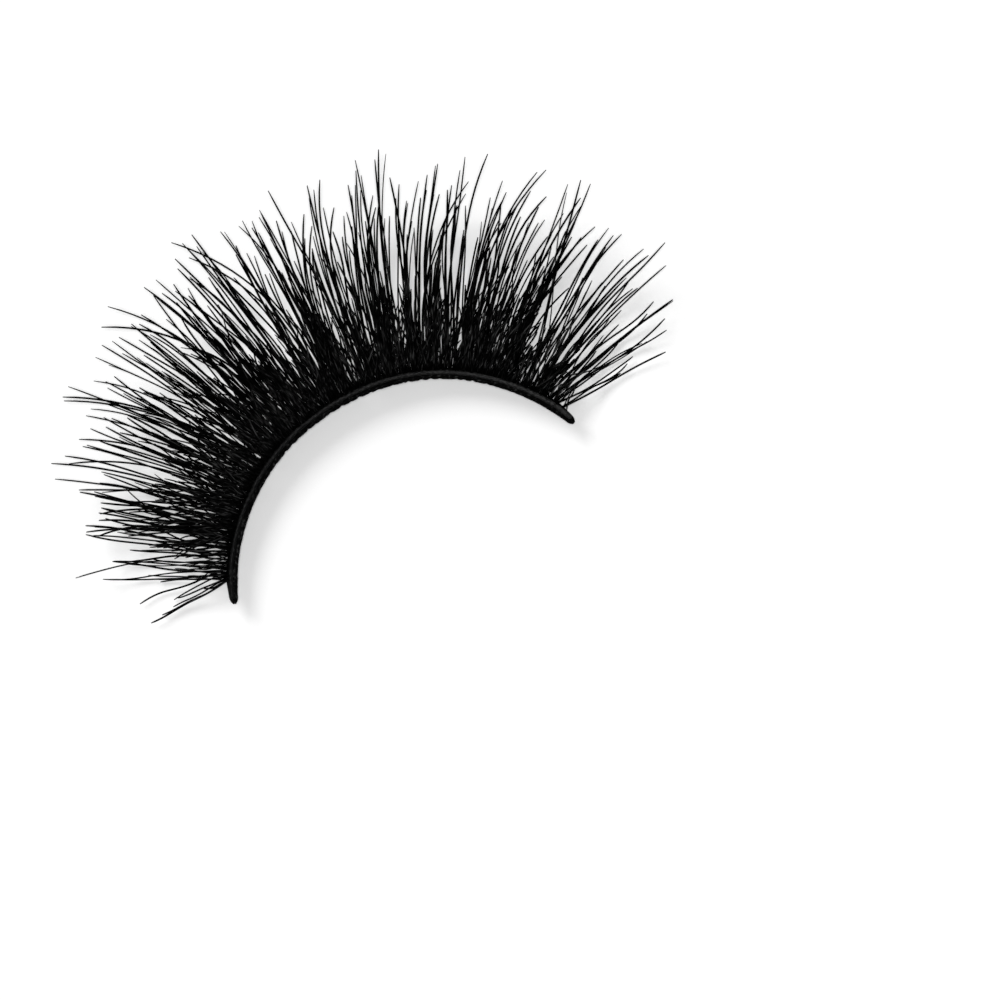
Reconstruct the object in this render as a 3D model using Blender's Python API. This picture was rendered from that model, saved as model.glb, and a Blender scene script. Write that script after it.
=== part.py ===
"""False eyelash strip, lying on a flat surface with its lashes curled up.

A flattened, knotted band bends round an arc, as an upper lid does, and ends in two bare stubs. A smooth
thread runs along the outer half of its top. Two layers of lashes leave the band's outer side: long locks,
which carry the strip on their belly and whose tips curl up, and shorter locks that lie over their roots.

Lengths are in millimetres and become metres where a mesh is made. An angle is in degrees round the centre of
the band's arc, from the middle of the band, and grows towards +X. A radius is a distance from that centre,
seen from above.
"""

import math
from collections import namedtuple

import bmesh
import bpy

MM = 0.001

# Place of the arc's centre, which puts the origin under the middle of the strip
ARC_CENTRE_X = -1.12
ARC_CENTRE_Y = -16.76

# Band
BAND_INNER_RADIUS = 13.38
BAND_WIDTH = 0.76
BAND_THICKNESS = 0.40
BAND_HALF_ANGLE = 68.1
BAND_END_LIFT = 1.35
BAND_MIDDLE_LIFT = 1.85
BAND_EDGE_BEVEL = 0.12
LEDGE_WIDTH = 0.40
LEDGE_DROP = 0.18
LEDGE_SLOPE = 0.04
KNOTS = 33
STATIONS_PER_KNOT = 3
NOTCH_DEPTH = 0.07
STUB_TAPER_ANGLE = 6.5
STUB_WIDTH_SHARE = 0.70
STUB_ROUND_ANGLE = 1.6
STUB_TIP_SHARE = 0.40

# Thread on the band's ledge
THREAD_DIAMETER = 0.32
THREAD_CLEARANCE = 0.05
THREAD_HALF_ANGLE = 67.2
THREAD_POINTS = 49

# Lashes, both layers
ROOT_RADIUS = 14.19
ROOT_LEFT_ANGLE = -62.6
ROOT_RIGHT_ANGLE = 64.6
BELLY_RADIUS = 19.1
CURL_RADIUS = 28.5
CURL_HEIGHT = 5.4
CURL_POWER = 2.3
CURL_VARIATION = 0.13
SWAY_ANGLE = 1.1
TIP_THINNING = 0.8
THINNING_POWER = 1.5
SHARED_RADII = (ROOT_RADIUS, 15.2, 16.3, 17.5, 18.8, 20.2)
FREE_STEP = 1.75

# Turn, in radians from lock to lock, of the waves that vary the locks
CURL_WAVE = 2.4
SWAY_WAVE = 0.37
LEAN_WAVE = 1.9
REACH_WAVE = 2.3

# Short lashes, which lie over the long ones
SHORT_LOCKS = 38
SHORT_TIP_LEFT_ANGLE = -66.0
SHORT_TIP_RIGHT_ANGLE = 68.0
SHORT_REACH = 20.0
SHORT_REACH_VARIATION = 1.5
SHORT_LEAN_ANGLE = 1.2

# A layer of lashes: its thickness beside and along the middle of a lock, and its height over the long locks
# at the root and, beyond that, at the short locks' reach
Layer = namedtuple("Layer", "edge_thickness ridge_height clearance lift")
LONG_LAYER = Layer(edge_thickness=0.26, ridge_height=0.13, clearance=0.0, lift=0.0)
SHORT_LAYER = Layer(edge_thickness=0.18, ridge_height=0.09, clearance=0.50, lift=1.5)

# Long locks from the left end of the band to the right one. Columns: angle of the tip, radius of the tip,
# and the radius at which the lock parts from the next one.
LONG_LOCKS = (
    (-70.5, 19.6, 15.2),
    (-66.5, 20.4, 16.3),
    (-62.3, 24.3, 16.3),
    (-59.0, 22.0, 16.3),
    (-56.5, 21.6, 15.2),
    (-54.3, 23.9, 17.5),
    (-51.2, 23.2, 16.3),
    (-48.6, 24.8, 18.8),
    (-46.7, 26.7, 18.8),
    (-44.9, 27.1, 17.5),
    (-43.0, 26.2, 16.3),
    (-40.8, 25.7, 18.8),
    (-38.6, 25.3, 17.5),
    (-36.5, 27.7, 18.8),
    (-34.3, 28.0, 17.5),
    (-32.0, 26.8, 18.8),
    (-29.6, 27.3, 16.3),
    (-26.8, 27.3, 18.8),
    (-24.8, 28.2, 17.5),
    (-22.5, 28.7, 17.5),
    (-19.6, 26.2, 18.8),
    (-17.2, 27.5, 20.2),
    (-15.4, 27.5, 18.8),
    (-13.6, 26.5, 17.5),
    (-11.8, 27.4, 20.2),
    (-10.2, 28.8, 20.2),
    (-8.6, 28.3, 17.5),
    (-6.8, 28.2, 16.3),
    (-4.0, 27.5, 17.5),
    (-1.0, 27.3, 18.8),
    (1.8, 27.5, 18.8),
    (4.2, 28.5, 16.3),
    (7.0, 26.0, 17.5),
    (9.0, 27.7, 18.8),
    (11.2, 27.9, 16.3),
    (13.2, 25.3, 18.8),
    (15.0, 27.1, 18.8),
    (16.8, 28.5, 17.5),
    (19.6, 28.8, 16.3),
    (21.4, 27.1, 18.8),
    (23.2, 26.5, 17.5),
    (25.1, 26.7, 18.8),
    (27.0, 27.4, 18.8),
    (29.1, 26.3, 17.5),
    (31.2, 28.3, 16.3),
    (34.4, 28.5, 18.8),
    (36.7, 26.9, 18.8),
    (38.7, 26.3, 16.3),
    (41.6, 28.3, 17.5),
    (43.7, 26.5, 18.8),
    (45.9, 27.7, 18.8),
    (48.2, 28.3, 16.3),
    (51.6, 25.7, 16.3),
    (53.7, 26.1, 17.5),
    (56.0, 26.0, 16.3),
    (59.3, 25.9, 17.5),
    (61.6, 27.0, 16.3),
    (63.8, 26.0, 16.3),
    (65.8, 23.4, 16.3),
    (68.0, 24.3, 16.3),
    (70.4, 22.5, 15.2),
    (73.0, 21.3, 15.2),
)


def clear_scene():
    """Remove the objects that the scene starts with."""
    for scene_object in list(bpy.data.objects):
        bpy.data.objects.remove(scene_object, do_unlink=True)


def make_material(name, colour, roughness):
    """Return a material with one Principled BSDF of the given colour and roughness."""
    material = bpy.data.materials.new(name)
    material.use_nodes = True
    surface = material.node_tree.nodes["Principled BSDF"]
    surface.inputs["Base Color"].default_value = (*colour, 1.0)
    surface.inputs["Roughness"].default_value = roughness
    surface.inputs["Metallic"].default_value = 0.0
    return material


def place(angle, radius, height):
    """Return the point, in metres, at an angle and a radius of the arc and a height over the surface."""
    turn = math.radians(angle)
    x = ARC_CENTRE_X + radius * math.sin(turn)
    y = ARC_CENTRE_Y + radius * math.cos(turn)
    return (x * MM, y * MM, height * MM)


def band_lift(angle):
    """Return the height of the band's underside, which arches a little from its ends to its middle."""
    end = math.cos(math.radians(BAND_HALF_ANGLE))
    arch = (math.cos(math.radians(angle)) - end) / (1.0 - end)
    return BAND_END_LIFT + (BAND_MIDDLE_LIFT - BAND_END_LIFT) * arch


def add_object(name, mesh, material):
    """Link an object that shows a mesh in one material."""
    mesh.materials.append(material)
    scene_object = bpy.data.objects.new(name, mesh)
    bpy.context.collection.objects.link(scene_object)
    return scene_object


def finish_mesh(name, shape):
    """Return a triangulated, smooth mesh of a bmesh whose faces point outwards."""
    bmesh.ops.triangulate(shape, faces=shape.faces[:])
    bmesh.ops.recalc_face_normals(shape, faces=shape.faces[:])
    mesh = bpy.data.meshes.new(name)
    shape.to_mesh(mesh)
    shape.free()
    mesh.shade_smooth()
    mesh.set_sharp_from_angle(angle=math.radians(50))
    return mesh


def stub_width_share(angle):
    """Return the share of the band's width at an angle: the band narrows and rounds off at its ends."""
    from_end = BAND_HALF_ANGLE - abs(angle)
    taper = min(1.0, from_end / STUB_TAPER_ANGLE)
    share = STUB_WIDTH_SHARE + (1.0 - STUB_WIDTH_SHARE) * taper
    if from_end < STUB_ROUND_ANGLE:
        across = 1.0 - from_end / STUB_ROUND_ANGLE
        share *= max(STUB_TIP_SHARE, math.sqrt(1.0 - across * across))
    return share


def band_section(angle, notch):
    """Return the band's outline at an angle, as points of radius and height over its underside."""
    share = stub_width_share(angle)
    middle = BAND_INNER_RADIUS + BAND_WIDTH / 2
    inner = middle - share * BAND_WIDTH / 2
    outer = middle + share * BAND_WIDTH / 2
    edge = inner + notch * share
    bevel = edge + BAND_EDGE_BEVEL * share
    ledge = outer - LEDGE_WIDTH * share
    ledge_height = BAND_THICKNESS - LEDGE_DROP
    return (
        (edge, BAND_EDGE_BEVEL),
        (edge, BAND_THICKNESS - BAND_EDGE_BEVEL),
        (bevel, BAND_THICKNESS),
        (ledge - LEDGE_SLOPE * share, BAND_THICKNESS),
        (ledge, ledge_height),
        (outer, ledge_height),
        (outer, 0.0),
        (bevel, 0.0),
    )


def make_band(material):
    """Make the band: a stepped section swept round the arc, notched between the knots of its inner edge."""
    spans = KNOTS * STATIONS_PER_KNOT
    shape = bmesh.new()
    rings = []
    for station in range(spans + 1):
        angle = BAND_HALF_ANGLE * (2.0 * station / spans - 1.0)
        notch = NOTCH_DEPTH if station % STATIONS_PER_KNOT == 0 else 0.0
        lift = band_lift(angle)
        points = band_section(angle, notch)
        rings.append([shape.verts.new(place(angle, radius, lift + height)) for radius, height in points])
    for ring, following in zip(rings, rings[1:]):
        for corner in range(len(ring)):
            after = (corner + 1) % len(ring)
            shape.faces.new((ring[corner], ring[after], following[after], following[corner]))
    shape.faces.new(rings[0])
    shape.faces.new(rings[-1])
    return add_object("band", finish_mesh("band", shape), material)


def make_thread(material):
    """Make the round thread that lies along the ledge of the band's top."""
    curve = bpy.data.curves.new("band_thread", "CURVE")
    curve.dimensions = "3D"
    curve.bevel_depth = THREAD_DIAMETER / 2 * MM
    curve.bevel_resolution = 2
    curve.use_fill_caps = True
    spline = curve.splines.new("POLY")
    spline.points.add(THREAD_POINTS - 1)
    radius = BAND_INNER_RADIUS + BAND_WIDTH - LEDGE_WIDTH / 2
    height = BAND_THICKNESS - LEDGE_DROP + THREAD_CLEARANCE + THREAD_DIAMETER / 2
    for number, point in enumerate(spline.points):
        angle = THREAD_HALF_ANGLE * (2.0 * number / (THREAD_POINTS - 1) - 1.0)
        point.co = (*place(angle, radius, band_lift(angle) + height), 1.0)
    curve.materials.append(material)
    thread = bpy.data.objects.new("band_thread", curve)
    bpy.context.collection.objects.link(thread)
    return thread


class Lock:
    """One lock: its root and tip seen from above, how strongly it curls, and how thick it is."""

    def __init__(self, layer, number, count, tip_angle, tip_radius):
        spacing = (ROOT_RIGHT_ANGLE - ROOT_LEFT_ANGLE) / count
        self.layer = layer
        self.root_angle = ROOT_LEFT_ANGLE + spacing * (number + 0.5)
        self.root_half_angle = spacing / 2
        self.tip_angle = tip_angle
        self.tip_radius = tip_radius
        self.curl = 1.0 + CURL_VARIATION * math.sin(CURL_WAVE * number)
        self.sway = SWAY_ANGLE * math.sin(SWAY_WAVE * number)

    def share(self, radius):
        """Return how far along the lock a radius lies, from 0 at the root to 1 at the tip."""
        return (radius - ROOT_RADIUS) / (self.tip_radius - ROOT_RADIUS)

    def angle(self, radius):
        """Return the angle of the lock's middle at a radius."""
        along = self.share(radius)
        bow = self.sway * 4.0 * along * (1.0 - along)
        return self.root_angle + (self.tip_angle - self.root_angle) * along + bow

    def underside(self, radius):
        """Return the height of the lock's underside: down to the belly, then up into the curl."""
        drop = band_lift(self.root_angle)
        belly = ROOT_RADIUS + (BELLY_RADIUS - ROOT_RADIUS) * math.sqrt(drop / BAND_MIDDLE_LIFT)
        if radius < belly:
            height = drop * ((belly - radius) / (belly - ROOT_RADIUS)) ** 2
        else:
            height = CURL_HEIGHT * self.curl * ((radius - belly) / (CURL_RADIUS - BELLY_RADIUS)) ** CURL_POWER
        outward = (radius - ROOT_RADIUS) / (SHORT_REACH - ROOT_RADIUS)
        return height + self.layer.clearance + self.layer.lift * outward**1.5

    def thinning(self, radius):
        """Return the share of the lock's thickness that is left at a radius."""
        return 1.0 - TIP_THINNING * self.share(radius) ** THINNING_POWER

    def edge_top(self, radius):
        """Return the height of the lock's top along its sides."""
        return self.underside(radius) + self.layer.edge_thickness * self.thinning(radius)

    def ridge_top(self, radius):
        """Return the height of the lock's top along its middle."""
        return self.edge_top(radius) + self.layer.ridge_height * self.thinning(radius)


def nearest_place(values, wanted):
    """Return the place in a list of the value nearest to the wanted one."""
    return min(range(len(values)), key=lambda number: abs(values[number] - wanted))


def make_seam(shape, left, right, radii):
    """Make the corners that two neighbouring locks share, as rows of low corner, top corner and angle."""
    seam = []
    for radius in radii:
        angle = (left.angle(radius) + right.angle(radius)) / 2
        low = (left.underside(radius) + right.underside(radius)) / 2
        top = (left.edge_top(radius) + right.edge_top(radius)) / 2
        low_corner = shape.verts.new(place(angle, radius, low))
        top_corner = shape.verts.new(place(angle, radius, top))
        seam.append((low_corner, top_corner, angle))
    return seam


def make_free_corners(shape, lock, radius, toward, start, start_half_angle):
    """Make the low and top corner of a lock's free side, which closes in on its middle towards the tip."""
    narrowing = (lock.tip_radius - radius) / (lock.tip_radius - start)
    angle = lock.angle(radius) + toward * start_half_angle * narrowing * start / radius
    low_corner = shape.verts.new(place(angle, radius, lock.underside(radius)))
    top_corner = shape.verts.new(place(angle, radius, lock.edge_top(radius)))
    return low_corner, top_corner


def lock_radii(lock, shared_rows):
    """Return the radii of a lock's rings: the shared ones, then even steps towards the tip."""
    radii = list(SHARED_RADII[:shared_rows])
    last_shared = radii[-1]
    free_length = lock.tip_radius - last_shared
    free_steps = max(2, round(free_length / FREE_STEP))
    return radii + [last_shared + free_length * step / free_steps for step in range(1, free_steps)]


def make_side(shape, lock, radii, seam, toward):
    """Make one side of a lock: the seam's corners while they are shared, then free corners."""
    if seam:
        start = radii[len(seam) - 1]
        start_half_angle = abs(seam[-1][2] - lock.angle(start))
    else:
        start = ROOT_RADIUS
        start_half_angle = lock.root_half_angle
    side = [corners[:2] for corners in seam]
    for radius in radii[len(seam) :]:
        side.append(make_free_corners(shape, lock, radius, toward, start, start_half_angle))
    return side


def make_lock(shape, lock, left_seam, right_seam):
    """Make one lock's faces: five sides between its seams or free corners, ending in a point."""
    radii = lock_radii(lock, max(len(left_seam), len(right_seam)))
    left_side = make_side(shape, lock, radii, left_seam, -1.0)
    right_side = make_side(shape, lock, radii, right_seam, 1.0)
    rings = []
    for radius, (left_low, left_top), (right_low, right_top) in zip(radii, left_side, right_side):
        ridge = shape.verts.new(place(lock.angle(radius), radius, lock.ridge_top(radius)))
        rings.append((left_low, left_top, ridge, right_top, right_low))
    for row, (near, far) in enumerate(zip(rings, rings[1:]), start=1):
        for corner in range(len(near)):
            joined_left = corner == 0 and row < len(left_seam)
            joined_right = corner == 3 and row < len(right_seam)
            if not joined_left and not joined_right:
                after = (corner + 1) % len(near)
                shape.faces.new((near[corner], near[after], far[after], far[corner]))
    tip_height = lock.underside(lock.tip_radius)
    tip = shape.verts.new(place(lock.angle(lock.tip_radius), lock.tip_radius, tip_height))
    last_ring = rings[-1]
    for corner in range(len(last_ring)):
        shape.faces.new((last_ring[corner], last_ring[(corner + 1) % len(last_ring)], tip))
    shape.faces.new(rings[0])


def make_lash_layer(name, locks, partings, material):
    """Make one layer of lashes: a sheet along the band that parts into pointed locks.

    Neighbouring locks share the corners of their common side up to the radius at which they part.
    """
    shape = bmesh.new()
    seams = [[]]
    for left, right, parting in zip(locks, locks[1:], partings):
        shared_rows = nearest_place(SHARED_RADII, parting) + 1
        seams.append(make_seam(shape, left, right, SHARED_RADII[:shared_rows]))
    seams.append([])
    for lock, left_seam, right_seam in zip(locks, seams, seams[1:]):
        make_lock(shape, lock, left_seam, right_seam)
    return add_object(name, finish_mesh(name, shape), material)


def make_long_lashes(material):
    """Make the long locks, which rest on the surface at their belly."""
    locks = []
    for number, (tip_angle, tip_radius, _parting) in enumerate(LONG_LOCKS):
        locks.append(Lock(LONG_LAYER, number, len(LONG_LOCKS), tip_angle, tip_radius))
    partings = [parting for _tip_angle, _tip_radius, parting in LONG_LOCKS]
    return make_lash_layer("long_lashes", locks, partings, material)


def make_short_lashes(material):
    """Make the short locks, which lie over the roots of the long ones."""
    locks = []
    partings = []
    for number in range(SHORT_LOCKS):
        along = number / (SHORT_LOCKS - 1)
        lean = SHORT_LEAN_ANGLE * math.sin(LEAN_WAVE * number)
        tip_angle = SHORT_TIP_LEFT_ANGLE + (SHORT_TIP_RIGHT_ANGLE - SHORT_TIP_LEFT_ANGLE) * along + lean
        tip_radius = SHORT_REACH + SHORT_REACH_VARIATION * math.sin(REACH_WAVE * number)
        locks.append(Lock(SHORT_LAYER, number, SHORT_LOCKS, tip_angle, tip_radius))
        partings.append(SHARED_RADII[1 + number % 2])
    return make_lash_layer("short_lashes", locks, partings, material)


def build():
    """Build the strip's four pieces."""
    clear_scene()
    band_black = make_material("band_black", (0.012, 0.012, 0.013), 0.62)
    thread_black = make_material("thread_black", (0.020, 0.020, 0.022), 0.45)
    lash_black = make_material("lash_black", (0.008, 0.008, 0.009), 0.38)
    make_band(band_black)
    make_thread(thread_black)
    make_long_lashes(lash_black)
    make_short_lashes(lash_black)


build()
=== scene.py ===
"""Looks of a false eyelash strip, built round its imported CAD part.

Lengths are in millimetres until a mesh is made. Angles are in degrees from the middle of the band's arc,
positive towards the right end, and radii are measured from the arc's centre.
"""

import math

import bpy
import numpy as np
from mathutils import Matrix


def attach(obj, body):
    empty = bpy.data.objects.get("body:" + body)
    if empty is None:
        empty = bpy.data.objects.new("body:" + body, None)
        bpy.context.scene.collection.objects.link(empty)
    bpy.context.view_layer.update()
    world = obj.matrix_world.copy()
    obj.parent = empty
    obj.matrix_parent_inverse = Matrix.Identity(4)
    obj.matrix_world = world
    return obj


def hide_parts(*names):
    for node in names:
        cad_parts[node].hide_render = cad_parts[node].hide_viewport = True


MM = 0.001

ARC_CENTRE_X = -1.12
ARC_CENTRE_Y = -16.76

BAND_HALF_ANGLE = 68.1
BAND_INNER_RADIUS = 13.38
BAND_WIDTH = 0.76
BAND_THICKNESS = 0.40
BAND_END_LIFT = 1.35
BAND_MIDDLE_LIFT = 1.85
LEDGE_WIDTH = 0.40
LEDGE_DROP = 0.18
STUB_TAPER_ANGLE = 6.5
STUB_EXTRA_ANGLE = 0.5
STUB_WIDTH_SHARE = 0.64
STUB_ROUND_ANGLE = 1.6
STUB_TIP_SHARE = 0.40
BAND_STATIONS = 620
BAND_NOTCHES = 46
NOTCH_DEPTH = 0.085
NOTCH_SHALLOWEST = 0.35
NOTCH_HALF_ANGLE = 0.55
NOTCH_NARROWEST = 0.7
NOTCH_WIDEST = 1.5
NOTCH_SHIFT = 1.1
BAND_ROUGHNESS = 0.016
BAND_ROUGHNESS_STEP = 3
BAND_ROUGH_SIDES = 9

THREAD_RADIUS = 0.16
THREAD_CENTRE_RADIUS = 13.85
THREAD_CENTRE_HEIGHT = 0.43
THREAD_HALF_ANGLE = 67.2
THREAD_STATIONS = 620
THREAD_SIDES = 14
THREAD_ROUND_ANGLE = 0.6
THREAD_THINNEST = 0.002
THREAD_ROUGHNESS = 0.006
THREAD_SIDE_STEP = 14
THREAD_HEIGHT_STEP = 9
THREAD_WIDTH_STEP = 6

ROOT_RADIUS = 14.19
PATH_START_RADIUS = 14.3
HAIR_START_RADIUS = 14.0
BELLY_RADIUS = 19.1
CURL_RADIUS = 28.5
CURL_HEIGHT = 5.4
CURL_POWER = 2.3
SHORT_REACH = 20.0
LIFT_POWER = 1.5
LIFT_EASING = 0.3
HAIR_SIDES = 6
HAIR_RINGS = 20
LEAD_HAIR_RADIUS = 0.056
LOOSE_HAIR_RADIUS = 0.045
HAIR_RADIUS_VARIATION = 0.011
TAPER_START = 0.80
TAPER_POWER = 1.4
TIP_SHARE = 0.84
TIP_END_SHARE = 0.52
LOOSE_SHARE = 0.95
LOOSE_SHORTEST = 0.31
LOOSE_LONGEST = 0.765
LOOSE_SKEW = 1.1
LOOSE_ROOT_SPREAD = 1.2
TWIN_HAIRS = 4
TWIN_SHORTEST = 0.80
TWIN_SPREAD = 0.45
WAIST_SPREAD = 0.45
TIP_SPREAD = 1.0
ROOT_LEFT_ANGLE = -62.6
ROOT_RIGHT_ANGLE = 64.2
LEAD_EVENNESS = 0.2
LOOSE_EVENNESS = 0.5
ROW_CURL_SPREAD = 0.10
HAIR_CURL_SPREAD = 0.04
ROW_LOWEST_START = 0.08
ROW_HIGHEST_START = 0.40
HAIR_START_SPREAD = 0.05
HAIR_LOWEST_START = 0.06
HAIR_HIGHEST_START = 0.5
LONG_HIGHEST_LIFT = 0.25

FILL_SHORTEST = 16.6
FILL_LONGEST = 22.0
FILL_LEAN = 13.0
FILL_SIDE_LEAN = 9.0
FILL_SIDE_ANGLE = 64.0
FILL_LAST_ANGLE = 61.0
# Near the band's ends the short hairs lean aside less and less, down to a share of their full lean.
CALM_ANGLE = 66.0
CALM_SPAN = 24.0
CALM_SHARE = 0.25
FILL_WAIST_SPREAD = 0.3
FILL_LOWEST_START = 0.15
FILL_HIGHEST_START = 0.55
FILL_LOWEST_LIFT = 0.1
FILL_HIGHEST_LIFT = 1.7
PARTING_HALF_ANGLE = 0.35
PARTING_FIRST_RADIUS = 15.0
PARTING_STEP = 0.25
THIN_HALF_ANGLE = 0.9
LOCK_ROOT_SPREAD = 1.1
LOCK_TIP_SPREAD = 0.65
LOCK_LEAN = 0.03
LOCK_SHORTEST = 0.72
LOCK_LONGEST = 1.08

ROOT_HAIRS = 190
ROOT_HAIR_RADIUS = 0.036
ROOT_SHORTEST = 15.2
ROOT_LONGEST = 17.2
ROOT_LEAN = 20.0

SWAY = 0.18
RIPPLE = 0.11

KEY_ENERGY = 1.68
KEY_SPREAD = 28.0
KEY_ELEVATION = 40.5
KEY_HEADING = -75.3
OVERHEAD_ENERGY = 1.75
OVERHEAD_SPREAD = 6.0
SKY_STRENGTH = 0.28

CAMERA_LENS = 810.0
CAMERA_SENSOR = 36.0
CAMERA_X = 4.92
CAMERA_Y = -13.94
CAMERA_HEIGHT = 1502.5
CAMERA_TURN = -28.1

NOISE_DETAIL = 4.0
NOISE_ROUGHNESS = 0.6
NOISE_LOW = 0.3
NOISE_HIGH = 0.7
BUMP_STRENGTH = 0.6

FLOOR_RADIUS = 900.0
FLOOR_DARKEST = 0.895
FLOOR_LIGHTEST = 0.905

# Columns: angle, how far outside the arc the band lies there.
BENDS = (
    (-70.0, 0.030), (-62.0, 0.110), (-57.0, 0.125), (-45.0, 0.067), (-33.0, 0.013), (-21.0, -0.040),
    (-9.0, -0.107), (3.0, -0.105), (15.0, -0.027), (33.0, 0.035), (48.0, 0.040), (62.0, 0.095), (70.0, 0.000),
)

# Columns: angle, share of the full depth that the notches of the band's inner edge have there.
NOTCH_DEPTHS = ((-38.0, 0.2), (-28.0, 1.0), (36.0, 1.0), (46.0, 0.2))

# Columns: root angle, angle halfway out, tip angle, tip radius, number of hairs.
LEFT_STRANDS = (
    (-62.6, -67.3, -70.4, 19.5, 2), (-62.3, -66.6, -69.1, 18.7, 2), (-61.9, -65.3, -67.7, 17.9, 3),
    (-60.0, -63.2, -66.2, 17.8, 2), (-61.8, -64.1, -65.9, 17.5, 1), (-59.0, -63.3, -66.5, 20.1, 2),
    (-59.3, -60.8, -61.8, 22.5, 4), (-60.2, -61.7, -61.8, 22.0, 2), (-60.6, -61.3, -61.8, 18.9, 1),
    (-60.0, -59.6, -58.7, 21.9, 3), (-59.0, -58.6, -58.6, 21.8, 6), (-57.5, -58.4, -61.6, 24.3, 2),
    (-54.0, -56.8, -58.5, 20.7, 2), (-56.3, -56.2, -56.4, 20.8, 3), (-54.2, -55.3, -56.4, 20.3, 1),
    (-55.0, -55.1, -54.6, 23.8, 2), (-53.2, -53.9, -54.6, 23.3, 2), (-52.5, -53.3, -53.2, 23.9, 3),
    (-48.5, -50.8, -54.6, 23.0, 1), (-49.5, -51.6, -54.2, 23.8, 1), (-50.0, -52.0, -53.2, 23.3, 2),
    (-49.6, -50.9, -52.0, 23.1, 2), (-50.4, -51.6, -51.5, 22.7, 1), (-49.8, -51.2, -52.2, 21.5, 1),
    (-49.3, -50.7, -50.8, 23.2, 3), (-48.4, -49.8, -49.9, 23.1, 4), (-45.5, -47.2, -50.9, 23.1, 1),
    (-45.8, -47.4, -49.1, 23.2, 2), (-47.0, -48.1, -48.2, 24.7, 4), (-47.4, -48.0, -47.6, 23.8, 1),
    (-41.8, -44.4, -47.9, 24.8, 2), (-42.6, -45.2, -48.2, 21.7, 2), (-42.3, -44.9, -47.2, 26.5, 3),
    (-43.4, -45.4, -46.0, 23.6, 3), (-42.8, -44.9, -44.5, 23.5, 2), (-40.8, -42.8, -45.2, 27.0, 3),
    (-40.6, -42.2, -43.6, 26.3, 3), (-37.5, -40.3, -44.5, 25.9, 2), (-42.0, -43.8, -44.2, 23.7, 4),
    (-38.6, -40.3, -41.4, 25.4, 3), (-38.0, -39.7, -41.0, 25.2, 2), (-35.5, -37.6, -40.6, 25.8, 3),
    (-37.3, -38.9, -39.7, 24.5, 4), (-36.9, -38.2, -39.6, 24.0, 2), (-36.6, -37.9, -38.5, 25.4, 6),
    (-36.6, -37.4, -37.3, 24.5, 4), (-33.0, -34.6, -37.0, 26.0, 2), (-35.4, -36.6, -36.1, 24.9, 2),
    (-33.6, -35.0, -37.2, 23.5, 2), (-34.2, -35.2, -35.7, 24.4, 3), (-34.0, -34.9, -34.5, 23.5, 2),
    (-33.6, -34.5, -34.1, 23.7, 3), (-29.3, -31.2, -36.4, 27.7, 2), (-28.8, -30.9, -36.0, 27.9, 2),
    (-31.5, -32.6, -35.8, 25.9, 1), (-32.2, -32.9, -34.4, 27.9, 5), (-30.4, -31.9, -33.4, 25.0, 4),
)
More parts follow.
